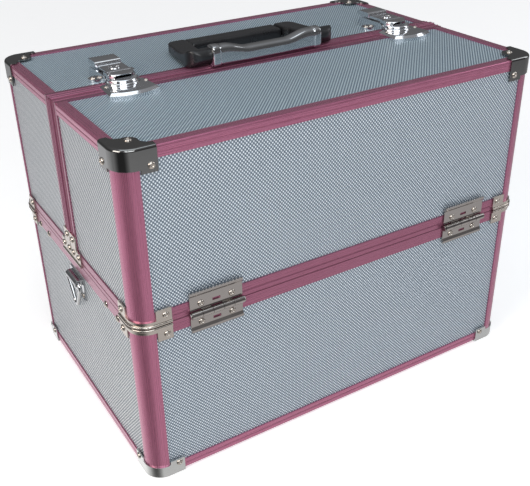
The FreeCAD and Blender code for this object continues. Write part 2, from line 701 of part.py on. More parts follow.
def ring_bracket():
    """Plate on the end panel, rolled into a sleeve for the ring's upper bar."""
    face = HALF_X - RAIL_THICKNESS
    top = RING_Z + 5.0
    plate = box((face, face + 1.4), (-15, 15), (RING_Z - 15, top))
    neck = box((face, ring_axis_x()), (-11, 11), (RING_Z + 1.4, RING_Z + 3.0))
    sleeve = rod((ring_axis_x(), -11, RING_Z), (ring_axis_x(), 11, RING_Z), 3.0)
    bore = rod((ring_axis_x(), -20, RING_Z), (ring_axis_x(), 20, RING_Z), RING_WIRE + RUNNING)
    return fuse([plate, neck, sleeve]).cut(bore)


def bent_wire(corners, wire):
    """Closed loop of round wire through (point, bend radius) corners in one plane."""
    starts = []
    ends = []
    pieces = []
    count = len(corners)
    for index in range(count):
        here, bend = corners[index]
        before = (here - corners[index - 1][0]).normalize()
        after = (corners[(index + 1) % count][0] - here).normalize()
        turn = before.getAngle(after)
        setback = bend * math.tan(turn / 2)
        start = here - before * setback
        inward = (after - before * before.dot(after)).normalize()
        section = Part.Face(Part.Wire(Part.makeCircle(wire, start, before)))
        pieces.append(section.revolve(start + inward * bend, before.cross(after), math.degrees(turn)))
        starts.append(start)
        ends.append(here + after * setback)
    for index in range(count):
        pieces.append(rod(ends[index - 1], starts[index], wire))
    return fuse(pieces)


def strap_ring():
    """Ring of round wire hanging from the sleeve, a triangle with rounded corners."""
    x = ring_axis_x()
    return bent_wire([(Vector(x, -RING_HALF, RING_Z), 3.2), (Vector(x, RING_HALF, RING_Z), 3.2),
                      (Vector(x, 0, RING_Z - RING_DROP), 4.5)], RING_WIRE)


# ---- trays and their arms, drawn for the back half ----

def lean(distance):
    """Offset (y, z) of a point on a closed arm, from its lower pivot; the arms lean to the middle."""
    angle = math.radians(ARM_LEAN)
    return -distance * math.sin(angle), distance * math.cos(angle)


def arm_points(offset):
    """Lower pivot, lower tray stud and upper tray stud of an arm, in (y, z)."""
    y = ARM_PIVOT[0] + offset
    z = ARM_PIVOT[1]
    points = [(y, z)]
    for distance in (LOWER_ARM, UPPER_ARM):
        dy, dz = lean(distance)
        points.append((y + dy, z + dz))
    return points


def tray_arm(offset, stud_clearance):
    """Flat bar at +X with a bored lower end and a headed stud for each tray."""
    points = arm_points(offset)
    inner, outer = ARM_FACES
    half = ARM_WIDTH / 2
    bar = box((inner, outer), (-half, half), (0, UPPER_ARM))
    ends = [rod((inner, 0, z), (outer, 0, z), half) for z in (0, UPPER_ARM)]
    bar = fuse([bar] + ends)
    bar.rotate(Vector(0, 0, 0), Vector(1, 0, 0), ARM_LEAN)
    bar.translate(Vector(0, *points[0]))
    studs = []
    tip = TRAY_END - TRAY_WALL + 0.1
    for y, z in points[1:]:
        studs.append(rod((tip, y, z), (outer + 0.8, y, z), STUD_RADIUS - stud_clearance))
        studs.append(rod((outer, y, z), (outer + 0.8, y, z), STUD_HEAD))
    bore = rod((inner - 5, *points[0]), (outer + 5, *points[0]), STUD_RADIUS + RUNNING)
    return fuse([bar] + studs).cut(bore)


def tray(y, z, dividers):
    """Open tray with rounded corners, end bores for the studs and moulded dividers."""
    radius = TRAY_CORNER
    half_y = (y[1] - y[0]) / 2
    middle = Vector(0, (y[0] + y[1]) / 2, 0)
    body = rounded(TRAY_END, half_y, radius, z)
    hollow = rounded(TRAY_END - TRAY_WALL, half_y - TRAY_WALL, radius - TRAY_WALL,
                     (z[0] + TRAY_WALL, z[1] + 1))
    shell = body.cut(hollow)
    parts = [shell]
    for x in dividers:
        parts.append(box((x - 0.8, x + 0.8), (-half_y + 1, half_y - 1), (z[0] + 1, z[1] - 6)))
    tray_solid = fuse(parts)
    tray_solid.translate(middle)
    return tray_solid


def tray_with_bores(limits, stud, dividers):
    body = tray(limits[0], limits[1], dividers)
    holes = []
    for offset in (0, FOLLOWER_OFFSET):
        y, z = arm_points(offset)[stud]
        holes.append(rod((-HALF_X, y, z), (-TRAY_END + 3, y, z), STUD_RADIUS + RUNNING))
        holes.append(rod((TRAY_END - 3, y, z), (HALF_X, y, z), STUD_RADIUS + RUNNING))
    return body.cut(Part.makeCompound(holes))


# ---- assembly ----

def to_front(solids):
    return [flip_y(solid) for solid in solids]


def build_nodes():
    nodes = {}
    posts = four(corner_post((BOTTOM + WALL, BASE_TOP)))
    floor, back, side = base_panels()
    pivots = []
    for y in tray_pivot_rows():
        pivots += four(tray_pivot(y))
    nodes["bottom_panel"] = [floor]
    nodes["base_front_panel"] = [flip_y(back)]
    nodes["base_back_panel"] = [back]
    nodes["base_side_panels"] = cut_all(pair(side), pivots)
    nodes["base_corner_posts"] = posts
    short_rail = short_edge_rail(BOTTOM, -1, (-RAIL_END_Y, RAIL_END_Y))
    long_rail = long_edge_rail(BOTTOM, -1)
    nodes["base_bottom_rails"] = [long_rail, flip_y(long_rail)] + pair(short_rail)
    nodes["base_rim_rails"] = base_rim_rails(posts, pivots)
    nodes["base_corner_caps"] = four(bottom_corner_cap())
    nodes["base_rim_brackets"] = four(rim_bracket(BASE_TOP - 0.1, -1))
    nodes["base_lining"] = [base_lining()]
    nodes["base_hinge_leaves"] = four(hinge_leaf(-1, (0, 2, 4)))
    nodes["hinge_pins"] = four(hinge_pin())
    heads = arm_rivets(10.6) + arm_rivets(PARTING - 8.0) + leaf_rivets(-1)
    nodes["base_rivets"] = [copy for one in heads for copy in four(one)]
    ring_rivet = rivet((HALF_X + 0.2, 11.0, RING_Z - 11.5), (1, 0, 0), 2.0, 0.8)
    nodes["base_rivets"] += four(ring_rivet)
    nodes["ring_brackets"] = pair(ring_bracket())
    nodes["tray_arm_pivots"] = pivots

    lid = lid_parts()
    frame = lid["split_frame"][0]
    for name, solids in lid.items():
        nodes["back_lid_" + name] = solids
        nodes["front_lid_" + name] = to_front(solids)
    for side in (-1, 1):
        strike_rivet = rivet((side * 15.8, -9.5, over(STRIKE_RIM)), (0, 0, 1), 1.6, 0.8)
        ear_rivet = rivet((side * 14.4, EAR_Y, over(LATCH_PLATE)), (0, 0, 1), 2.0, 0.9)
        nodes["front_lid_rivets"] += at_latches(strike_rivet)
        nodes["back_lid_rivets"] += at_latches(ear_rivet)
    nodes["latch_strikes"] = cut_all(at_latches(latch_strike()), [flip_y(frame)])
    nodes["latch_bases"] = cut_all(at_latches(latch_base()), [frame])
    for side, x in LATCH_PLACES.items():
        nodes[side + "_latch_hook"] = [beside(latch_hook(), x)]
        nodes[side + "_latch_lever"] = [beside(latch_lever(), x)]
        nodes[side + "_lock_cylinder"] = [beside(lock_cylinder(), x)]
    nodes["right_strap_ring"] = [strap_ring()]
    nodes["left_strap_ring"] = [flip_x(strap_ring())]

    nodes["handle_base"] = [handle_mount()]
    nodes["handle_arms"] = pair(handle_arm())
    nodes["handle_grip"] = [handle_grip()]

    lead = pair(tray_arm(0, 0))
    follower = pair(tray_arm(FOLLOWER_OFFSET, 0.25))
    lower = [tray_with_bores(LOWER_TRAY, 1, LOWER_DIVIDERS)]
    upper = [tray_with_bores(UPPER_TRAY, 2, UPPER_DIVIDERS)]
    for name, solids in (("lead_arms", lead), ("follower_arms", follower),
                         ("lower_tray", lower), ("upper_tray", upper)):
        nodes["back_" + name] = solids
        nodes["front_" + name] = to_front(solids)
    return nodes


def solids_of(shapes):
    return [solid for shape in shapes for solid in shape.Solids]


def main():
    os.makedirs("parts", exist_ok=True)
    for name, shapes in build_nodes().items():
        solids = solids_of(shapes)
        shape = solids[0] if len(solids) == 1 else Part.makeCompound(solids)
        volume = sum(solid.Volume for solid in solids)
        sound = all(solid.isValid() for solid in solids)
        print(f"{name}: {len(solids)} solids, {volume / 1000:.1f} cm3, valid {sound}")
        shape.exportStep(os.path.join("parts", name + ".step"))


main()
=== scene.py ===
"""Looks of the makeup train case: camera, light, materials and the detailed pieces round its CAD frame."""
import json
import math

import bmesh
import bpy
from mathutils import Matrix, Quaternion, Vector, noise


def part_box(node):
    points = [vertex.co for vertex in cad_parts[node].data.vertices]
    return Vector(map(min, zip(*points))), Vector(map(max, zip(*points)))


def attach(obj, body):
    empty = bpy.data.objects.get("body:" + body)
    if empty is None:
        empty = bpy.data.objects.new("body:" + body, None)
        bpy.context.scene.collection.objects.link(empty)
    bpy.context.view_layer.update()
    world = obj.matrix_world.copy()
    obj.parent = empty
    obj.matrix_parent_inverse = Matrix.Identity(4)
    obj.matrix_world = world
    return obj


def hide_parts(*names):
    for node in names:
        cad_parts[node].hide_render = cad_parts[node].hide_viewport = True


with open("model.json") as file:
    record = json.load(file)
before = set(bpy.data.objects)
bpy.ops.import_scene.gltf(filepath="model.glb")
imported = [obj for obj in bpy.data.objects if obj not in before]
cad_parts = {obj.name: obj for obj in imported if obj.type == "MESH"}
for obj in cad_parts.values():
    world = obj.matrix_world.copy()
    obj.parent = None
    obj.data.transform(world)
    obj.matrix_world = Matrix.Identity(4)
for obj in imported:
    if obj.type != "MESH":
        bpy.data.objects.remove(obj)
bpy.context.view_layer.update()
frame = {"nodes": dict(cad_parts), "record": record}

MM = 0.001
RIGHT = Vector((1, 0, 0))
BACK = Vector((0, 1, 0))
UP = Vector((0, 0, 1))
NODES = frame["nodes"]
BODIES = frame["record"]["behaviour"]["bodies"]
BODY_OF = {node: body for body, nodes in BODIES.items() for node in nodes}

# The view, in the row frame; metres, degrees, and millimetres for the lens and sensor
CAMERA_PLACE = Vector((-0.33644, -0.55619, 0.46406))
CAMERA_AZIMUTH = -30.949
CAMERA_ELEVATION = 29.412
CAMERA_ROLL = -1.206
CAMERA_LENS = 55.12
CAMERA_CLIP = (0.01, 50.0)
SENSOR_WIDTH = 36.0

# The room that the metal reflects: its colours straight down and straight up, and (height, grey) between
ROOM_GROUND = (0.80, 0.78, 0.76)
ROOM_CEILING = (0.34, 0.35, 0.37)
ROOM_GREYS = ((0.30, 0.56), (0.42, 0.14), (0.55, 0.09), (0.80, 0.22))
ROOM_BLUE = 1.03
# Direction and brightness of the patches in the room, and the cosines at a patch's rim and where it is full
WORLD_PATCHES = (((-0.75, -0.45, -0.49), 0.12), ((-0.45, 0.75, -0.49), 1.7))
PATCH_EDGE = (0.80, 0.97)

# Soft boxes: name, place, point they face, size, power in watts and colour
SOFT_BOXES = (
    ("key", (-0.55, -1.75, 1.25), (0, 0, 0.12), (1.5, 1.1), 18.0, (0.94, 0.97, 1.0)),
    ("side", (-1.7, -0.35, 0.95), (0, 0, 0.14), (1.0, 0.9), 15.0, (1.0, 0.93, 0.86)),
    ("top", (-0.2, -0.35, 1.9), (0, 0, 0.2), (1.6, 1.2), 8.0, (0.88, 0.95, 1.0)),
    ("right", (1.8, -0.6, 1.1), (0, 0, 0.15), (0.8, 1.2), 7.0, (0.93, 0.96, 1.0)),
)

# Floor and backdrop, in metres
FLOOR_RADIUS = 6.0
FLOOR_SIDES = 96
FLOOR_DROP = 0.2 * MM
FLOOR_COLOURS = ((0.88, 0.88, 0.88), (0.93, 0.93, 0.93))
# The floor glows more from the first of these distances to the second
GLOW_DISTANCES = (0.6, 2.4)
GLOW_STRENGTHS = (0.42, 0.62)
# (reach, height) up the backdrop
BACKDROP_PROFILE = ((5.9, -0.05), (5.9, 1.0), (5.8, 2.4), (5.2, 3.6), (4.0, 4.4), (2.0, 4.8))
BACKDROP_SIDES = 64
BACKDROP_COLOUR = (0.98, 0.98, 0.98, 1.0)

# The texture of the panels: raised dots in a staggered lattice, pale on a darker ground
DOT_PITCH = 2.7 * MM
DOT_ROWS = 3.0 * MM
DOT_EDGE = (0.42, 0.20)
DOT_HEIGHT = 0.25 * MM
PANEL_GROUNDS = ((0.125, 0.165, 0.200), (0.155, 0.195, 0.230))
PANEL_CRESTS = ((0.76, 0.80, 0.83), (0.88, 0.92, 0.95))

# Anodised rails: two pinks that cloud into each other, paler die lines, and their scales along and across
RAIL_PINKS = ((0.42, 0.135, 0.225), (0.48, 0.158, 0.258))
DIE_LINE_PINK = (0.60, 0.26, 0.37)
DIE_LINE_LONG = 25.0
DIE_LINE_FINE = 2400.0
# Past these places along X the extrusions run across the case, and up it at the split
RAIL_TURN = 171.0 * MM
SPLIT_TURN = 179.9 * MM

NICKEL = (0.55, 0.50, 0.45)
CLOTH_WEAVE = 5200.0

# Material of a CAD node, by the first of these words in its name; any other node is bright chrome
MATERIAL_BY_WORD = (
    ("side_panels", "panel_side"), ("top_panel", "panel_top"), ("bottom_panel", "panel_top"),
    ("panel", "panel_wall"),
    ("corner_posts", "rail_posts"), ("split_frame", "rail_split"), ("rim_rails", "rail_rims"),
    ("rails", "rail_edges"),
    # The lid caps and the base caps share one plating: the lid caps' material is darkened as painted shade
    # and the base caps' is brightened as a painted reflection.
    ("base_corner_caps", "lit_base_caps"), ("corner_caps", "shaded_lid_caps"), ("rim_brackets", "nickel"),
    ("latch", "latch"), ("lock", "latch"), ("hinge", "hinge"), ("rivets", "nickel"), ("pivots", "nickel"),
    ("handle_base", "black"), ("handle_arms", "black"),
    ("lining", "lining"), ("tray", "tray"), ("arms", "zinc"),
)

# The sizes from here on are in millimetres unless they end in * MM. TOP is the height of the top rails
TOP = 272.0 * MM
WELD = 0.002 * MM
BOTH_ENDS = (0, -1)

RIVET_SIDES = 24
# Radius and height along a rivet head, as shares of its own, from foot to dimple
RIVET_PROFILE = ((1.0, 0.0), (1.0, 0.16), (0.97, 0.34), (0.88, 0.62), (0.75, 0.86), (0.60, 0.99),
                 (0.50, 1.0), (0.42, 0.90), (0.36, 0.66), (0.30, 0.50), (0.16, 0.44))

# (y, height over the rails) round the grip at its ends
GRIP_SECTION = ((2.2, 2.2), (-1.2, 1.9), (-5.6, 2.0), (-7.9, 3.2), (-8.5, 6.4), (-8.4, 12.6), (-7.2, 16.6),
                (-3.2, 17.7), (0.9, 17.1), (2.8, 14.6), (3.0, 10.6), (3.0, 5.0))
GRIP_CURVE_STEPS = 5
GRIP_STATIONS = 64
GRIP_HALF = 50.4
GRIP_FOOT = 1.9
# The crown is low over the flat middle of the saddle and high past its shoulders
GRIP_HIGH = 17.6
GRIP_LOW = 13.2
GRIP_FLAT = 17.0
GRIP_SHOULDER = 39.0
COLLAR_WIDTH = 6.2
# (distance, swell of the section) past the collar's inner edge, and past the grip's end
COLLAR_RISE = ((-0.2, 1.0), (0.0, 1.02), (0.25, 1.055), (0.7, 1.065))
COLLAR_FALL = ((-0.9, 1.065), (-0.35, 1.05), (0.0, 1.0))
# The grip's plain sections stop this far short of a collar
COLLAR_CLEARANCE = 0.4

# Mouldings of the handle: size of their skin's cells, rounds of smoothing, and the mount's reach without pins
MOULD_VOXEL = 0.6 * MM
ARM_ROUNDS = 45
MOUNT_ROUNDS = 22
MOUNT_REACH = 43.62 * MM

# The strikes' sloping back faces stand this much nearer to the hooks, which hides the gap under the nose.
# STRIKE_PLATE is a height over the rails that the strikes' plates stay under
STRIKE_SLOPE = Vector((0.0, 0.665, 0.747))
STRIKE_SHIFT = 0.9 * MM
STRIKE_PLATE = 3.6 * MM
FACING = 0.98

# Angles in degrees: facets that meet at less are one face, and edges that turn by more are rounded
FLAT_ANGLE = 0.6
SHARP_ANGLE = 30.0
BEVEL_SEGMENTS = 2
# Radius of the rounded edges of each node of pressed or cast metal
EDGED_NODES = {
    "latch_strikes": 0.35, "latch_bases": 0.2, "left_latch_hook": 0.3, "right_latch_hook": 0.3,
    "left_latch_lever": 0.65, "right_latch_lever": 0.65,
    "left_lock_cylinder": 0.15, "right_lock_cylinder": 0.15,
    "base_hinge_leaves": 0.2, "front_lid_hinge_leaves": 0.2, "back_lid_hinge_leaves": 0.2, "hinge_pins": 0.2,
    "base_corner_caps": 0.25, "front_lid_corner_caps": 0.25, "back_lid_corner_caps": 0.25,
    "base_rim_brackets": 0.2, "front_lid_rim_brackets": 0.2, "back_lid_rim_brackets": 0.2,
    "front_lid_split_frame": 0.15, "back_lid_split_frame": 0.15,
    "front_lid_top_rails": 0.18, "back_lid_top_rails": 0.18,
    "front_lid_rim_rails": 0.18, "back_lid_rim_rails": 0.18,
    "base_bottom_rails": 0.18, "base_rim_rails": 0.18, "ring_brackets": 0.3,
}

CORNER_STEPS = 7
# Linings: cloth-covered boards, with a strip of cloth in the corners and a bound edge at the split
CORNER_INSIDE = 7.1 * MM
BASE_BOARD = 1.7 * MM
LID_BOARD = 1.5 * MM
BOARD_GAP = 2.0 * MM
BOARD_INSET = 5.5 * MM
BOARD_CELL = 7.0 * MM
BOARD_EDGE = 4.5 * MM
BOARD_LEAST_CELLS = 8
BOARD_CROWDING = 0.11
BOARD_HEM = 0.25
# Waviness of the cloth: how often it waves to the metre, and its share of the board's depth
SLOW_WAVE = (38.0, 0.10)
QUICK_WAVE = (150.0, 0.04)
SKIN_GAP = 0.05 * MM
STRIP_THICKNESS = 0.9 * MM
BINDING_RADIUS = 0.7 * MM
BINDING_SIDES = 8

# (inset, height) up the tray's outside and down its inside; negative heights are measured down from the rim
TRAY_SKIN = ((6.0, 0.6), (4.6, 0.0), (2.6, 0.1), (0.9, 0.9), (0.15, 2.4), (0.0, 4.5), (0.0, -4.2),
             (0.35, -3.6), (0.35, -3.2), (0.0, -2.6), (0.0, -1.0), (0.35, -0.25), (1.1, -0.01), (2.1, -0.1),
             (2.7, -0.8), (2.8, -2.4), (2.2, -3.6), (2.0, -5.0), (2.1, 7.0), (2.6, 4.2), (4.0, 2.6),
             (6.6, 2.0), (12.0, 2.0), (30.0, 2.0))
TRAY_CORNER = 6.0 * MM
TRAY_CORNER_LEAST = 1.2 * MM
LOWER_DIVIDERS = (-84.0, 0.0, 84.0)
UPPER_DIVIDERS = (-56.0, 56.0)
# The dividers' ends and feet are this deep in the tray's skin, and their crests this far below its rim
DIVIDER_ROOT = 1.6 * MM
DIVIDER_DROP = 6.0 * MM
DIVIDER_HALF = 0.8 * MM
DIVIDER_STATIONS = 24
# Depth of the dip for a finger, and its width as a share of the divider's length
DIP_DEPTH = 5.0 * MM
DIP_SHARE = 0.17


# ---- mesh helpers ----

def new_object(name, data):
    made = bpy.data.objects.new(name, data)
    bpy.context.scene.collection.objects.link(made)
    return made


def new_mesh(name, bm):
    """Mesh from a bmesh, which is used up."""
    mesh = bpy.data.meshes.new(name)
    bm.to_mesh(mesh)
    bm.free()
    return mesh


def circle(sides):
    """Cosine and sine of every step round a circle."""
    angles = [2 * math.pi * step / sides for step in range(sides)]
    return [(math.cos(angle), math.sin(angle)) for angle in angles]


def loft(bm, rings, caps=BOTH_ENDS):
    """Skin over closed rings of points, with a face over each of the rings that caps counts out."""
    rows = [[bm.verts.new(point) for point in ring] for ring in rings]
    count = len(rows[0])
    for low, high in zip(rows, rows[1:]):
        for index in range(count):
            after = (index + 1) % count
            bm.faces.new((low[index], low[after], high[after], high[index]))
    for end in caps:
        bm.faces.new(rows[end])


def smooth_loop(corners, steps):
    """Closed curve through points, steps to each span."""
    points = []
    count = len(corners)
    for index in range(count):
        p0, p1, p2, p3 = (Vector(corners[(index + k - 1) % count]) for k in range(4))
        for step in range(steps):
            t = step / steps
            points.append(0.5 * (2 * p1 + (p2 - p0) * t + (2 * p0 - 5 * p1 + 4 * p2 - p3) * t * t
                                 + (3 * p1 - p0 - 3 * p2 + p3) * t ** 3))
    return points


def rounded_outline(half_x, half_y, radius):
    """Plan points of a rounded rectangle about the axis."""
    points = []
    for turn, (sx, sy) in enumerate(((1, 1), (-1, 1), (-1, -1), (1, -1))):
        for step in range(CORNER_STEPS):
            angle = math.radians(90.0 * (turn + step / (CORNER_STEPS - 1)))
            points.append((sx * (half_x - radius) + radius * math.cos(angle),
                           sy * (half_y - radius) + radius * math.sin(angle)))
    return points


def node_mesh(name):
    """Bare mesh copy of a CAD node, in the row frame, with its split vertices joined."""
    node = NODES[name]
    bm = bmesh.new()
    bm.from_mesh(node.data)
    bm.transform(node.matrix_world)
    bmesh.ops.remove_doubles(bm, verts=bm.verts, dist=WELD)
    return bm


def add_piece(name, bm, material, nodes, smooth_angle=40.0):
    """Object from a bmesh that stands for the CAD nodes and moves with their body."""
    mesh = new_mesh(name, bm)
    if "custom_normal" in mesh.attributes:
        mesh.attributes.remove(mesh.attributes["custom_normal"])
    mesh.polygons.foreach_set("use_smooth", [True] * len(mesh.polygons))
    mesh.set_sharp_from_angle(angle=math.radians(smooth_angle))
    mesh.materials.append(material)
    piece = new_object(name, mesh)
    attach(piece, BODY_OF[nodes[0]])
    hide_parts(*nodes)
    return piece


# ---- materials ----

class Shader:
    """A Principled material with short calls for the nodes that feed it."""

    def __init__(self, name):
        self.material = bpy.data.materials.new(name)
        self.material.use_nodes = True
        self.tree = self.material.node_tree
        self.surface = self.tree.nodes["Principled BSDF"]
        self.relief = None

    def feed(self, socket, value):
        """A constant, or the output of a node, into a socket."""
        if isinstance(value, bpy.types.NodeSocket):
            self.tree.links.new(value, socket)
        else:
            socket.default_value = value

    def set(self, name, value):
        self.feed(self.surface.inputs[name], value)

    def colour(self, value):
        self.set("Base Color", (*value, 1.0) if isinstance(value, tuple) else value)

    def node(self, kind, *inputs):
        made = self.tree.nodes.new(kind)
        for index, value in enumerate(inputs):
            self.feed(made.inputs[index], value)
        return made

    def place(self):
        """Position in the row frame, fixed to the piece."""
        return self.node("ShaderNodeTexCoord").outputs["Object"]

    def axes(self, vector):
        return self.node("ShaderNodeSeparateXYZ", vector).outputs

    def math(self, operation, *values):
        made = self.node("ShaderNodeMath", *values)
        made.operation = operation
        return made.outputs[0]

    def scaled(self, vector, factors):
        """The vector times a factor along each axis."""
        made = self.node("ShaderNodeVectorMath", vector, factors)
        made.operation = "MULTIPLY"
        return made.outputs[0]

    def noise(self, vector, scale, detail, roughness=0.5):
        made = self.node("ShaderNodeTexNoise")
        self.feed(made.inputs["Vector"], vector)
        self.feed(made.inputs["Scale"], scale)
        self.feed(made.inputs["Detail"], detail)
        self.feed(made.inputs["Roughness"], roughness)
        return made.outputs["Fac"]

    def cells(self, vector, scale, output):
        made = self.node("ShaderNodeTexVoronoi")
        self.feed(made.inputs["Vector"], vector)
        self.feed(made.inputs["Scale"], scale)
        return made.outputs[output]

    def span(self, value, old, new):
        """Value mapped from one range to another, held at its ends."""
        return self.node("ShaderNodeMapRange", value, *old, *new).outputs["Result"]

    def mix(self, kind, factor, first, second):
        """Blend of two colours (kind RGBA) or two vectors (kind VECTOR)."""
        made = self.node("ShaderNodeMix")
        made.data_type = kind
        self.feed(made.inputs["Factor"], factor)
        for name, value in (("A", first), ("B", second)):
            socket = next(s for s in made.inputs if s.name == name and s.type == kind)
            self.feed(socket, (*value, 1.0) if isinstance(value, tuple) else value)
        return next(s for s in made.outputs if s.type == kind)

    def blend(self, factor, first, second):
        """Colour between two."""
        return self.mix("RGBA", factor, first, second)

    def bump(self, height, depth):
        """Relief of a height field, depth metres from 0 to 1, over any relief before it."""
        made = self.node("ShaderNodeBump")
        self.feed(made.inputs["Strength"], 1.0)
        self.feed(made.inputs["Distance"], depth)
        self.feed(made.inputs["Height"], height)
        if self.relief is not None:
            self.feed(made.inputs["Normal"], self.relief)
        self.relief = made.outputs["Normal"]
        self.set("Normal", self.relief)


def tinted(colour, tint):
    return tuple(min(1.0, part * share) for part, share in zip(colour, tint))


def toned(colour, tone):
    return tinted(colour, (tone, tone, tone))


def lattice(shader, across, up):
    """Distance from the nearest dot's centre in a lattice of slanting rows, 0 there and 0.7 between dots."""
    column = shader.math("DIVIDE", across, DOT_PITCH)
    row = shader.math("DIVIDE", up, DOT_ROWS)
    sides = []
    for operation in ("ADD", "SUBTRACT"):
        slant = shader.math(operation, column, row)
        centred = shader.math("SUBTRACT", shader.math("FRACT", slant), 0.5)
        sides.append(shader.math("POWER", centred, 2.0))
    return shader.math("SQRT", shader.math("ADD", *sides))


def panel_material(name, across, up, tint):
    """Silver laminate embossed with small dots; across and up name the axes of its face, and tint is painted
    light: the colour of the light that falls on that face.
    """
    shader = Shader(name)
    place = shader.place()
    axes = shader.axes(place)
    dot = shader.span(lattice(shader, axes[across], axes[up]), old=DOT_EDGE, new=(0.0, 1.0))
    cloud = shader.noise(place, scale=14.0, detail=3)
    ground = shader.blend(cloud, *(tinted(colour, tint) for colour in PANEL_GROUNDS))
    glint = shader.noise(place, scale=420.0, detail=2)
    crest = shader.blend(glint, *(tinted(colour, tint) for colour in PANEL_CRESTS))
    shader.colour(shader.blend(dot, ground, crest))
    shader.set("Metallic", 0.25)
    smear = shader.noise(shader.scaled(place, (1.0, 1.0, 0.5)), scale=9.0, detail=4)
    shader.set("Roughness", shader.span(smear, old=(0.3, 0.7), new=(0.34, 0.46)))
    shader.bump(dot, depth=DOT_HEIGHT)
    shader.bump(shader.noise(place, scale=2600.0, detail=1), depth=0.02 * MM)
    return shader.material


def anodised_material(name, tone, stretch, end_stretch=None, turn=None):
    """Pink satin anodised extrusion with fine die lines, which run another way where |X| passes the turn;
    tone scales its pinks, as painted light and shade.
    """
    shader = Shader(name)
    place = shader.place()
    lined = shader.scaled(place, stretch)
    if turn is not None:
        past = shader.math("GREATER_THAN", shader.math("ABSOLUTE", shader.axes(place)["X"]), turn)
        lined = shader.mix("VECTOR", past, lined, shader.scaled(place, end_stretch))
    lines = shader.noise(lined, scale=1.0, detail=3, roughness=0.6)
    cloud = shader.noise(place, scale=11.0, detail=2)
    base = shader.blend(cloud, *(toned(pink, tone) for pink in RAIL_PINKS))
    streak = shader.span(lines, old=(0.35, 0.7), new=(0.0, 0.25))
    shader.colour(shader.blend(streak, base, toned(DIE_LINE_PINK, tone)))
    shader.set("Metallic", 0.7)
    shader.set("Roughness", shader.span(lines, old=(0.3, 0.75), new=(0.24, 0.34)))
    shader.set("Coat Weight", 0.35)
    shader.set("Coat Roughness", 0.22)
    shader.bump(lines, depth=0.006 * MM)
    return shader.material


def nickel_material():
    """Satin nickel plate with faint rolling marks and a few scratches."""
    shader = Shader("satin_nickel")
    place = shader.place()
    cloud = shader.noise(place, scale=90.0, detail=3)
    marks = shader.noise(shader.scaled(place, (60.0, 60.0, 700.0)), scale=1.0, detail=2)
    shader.colour(shader.blend(cloud, NICKEL, toned(NICKEL, 1.22)))
    shader.set("Metallic", 1.0)
    shader.set("Roughness", shader.span(marks, old=(0.3, 0.7), new=(0.17, 0.26)))
    shader.bump(marks, depth=0.004 * MM)
    return shader.material


def chrome_material(name, base, rough):
    """Polished plate with light smudges."""
    shader = Shader(name)
    place = shader.place()
    smudge = shader.noise(place, scale=70.0, detail=4, roughness=0.6)
    ripple = shader.noise(place, scale=240.0, detail=2)
    shader.colour(shader.blend(smudge, base, toned(base, 1.15)))
    shader.set("Metallic", 1.0)
    shader.set("Roughness", shader.span(smudge, old=(0.35, 0.72), new=rough))
    shader.bump(ripple, depth=0.03 * MM)
    return shader.material


def handle_material():
    """Moulded black plastic with a fine pebble grain."""
    shader = Shader("black_handle")
    place = shader.place()
    pebble = shader.cells(place, scale=1500.0, output="Distance")
    wear = shader.noise(place, scale=60.0, detail=4)
    shader.colour(shader.blend(wear, (0.008, 0.008, 0.009), (0.018, 0.018, 0.020)))
    shader.set("Roughness", shader.span(wear, old=(0.3, 0.7), new=(0.24, 0.36)))
    shader.set("Specular IOR Level", 0.55)
    shader.bump(pebble, depth=0.03 * MM)
    return shader.material


def lining_material():
    """Black napped fabric on thin foam."""
    shader = Shader("black_lining")
    place = shader.place()
    axes = shader.axes(place)
    threads = [shader.math("MULTIPLY", axes[axis], CLOTH_WEAVE) for axis in ("X", "Y", "Z")]
    waves = [shader.math("SINE", thread) for thread in threads]
    level = shader.math("ADD", waves[0], waves[1])
    cloth = shader.math("MULTIPLY", level, shader.math("ADD", waves[2], 1.5))
    nap = shader.noise(place, scale=1800.0, detail=3, roughness=0.7)
    shader.colour(shader.blend(nap, (0.010, 0.010, 0.012), (0.050, 0.050, 0.056)))
    shader.set("Roughness", shader.span(nap, old=(0.3, 0.7), new=(0.75, 0.95)))
    shader.set("Sheen Weight", 0.35)
    shader.set("Sheen Roughness", 0.5)
    shader.bump(cloth, depth=0.03 * MM)
    shader.bump(nap, depth=0.12 * MM)
    return shader.material


def tray_material():
    """Black moulded tray plastic, satin with a fine spark texture."""
    shader = Shader("tray_plastic")
    place = shader.place()
    spark = shader.noise(place, scale=1400.0, detail=2)
    cloud = shader.noise(place, scale=22.0, detail=3)
    shader.colour(shader.blend(cloud, (0.020, 0.020, 0.022), (0.034, 0.034, 0.037)))
    shader.set("Roughness", shader.span(cloud, old=(0.3, 0.7), new=(0.36, 0.48)))
    shader.bump(spark, depth=0.05 * MM)
    return shader.material


def zinc_material():
    """Zinc-plated steel with a faint spangle."""
    shader = Shader("zinc_arm")
    place = shader.place()
    tone = shader.axes(shader.cells(place, scale=260.0, output="Color"))[0]
    shader.colour(shader.blend(tone, (0.42, 0.43, 0.44), (0.60, 0.61, 0.60)))
    shader.set("Metallic", 1.0)
    shader.set("Roughness", shader.span(tone, old=(0.0, 1.0), new=(0.26, 0.42)))
    shader.bump(shader.noise(place, scale=900.0, detail=2), depth=0.01 * MM)
    return shader.material


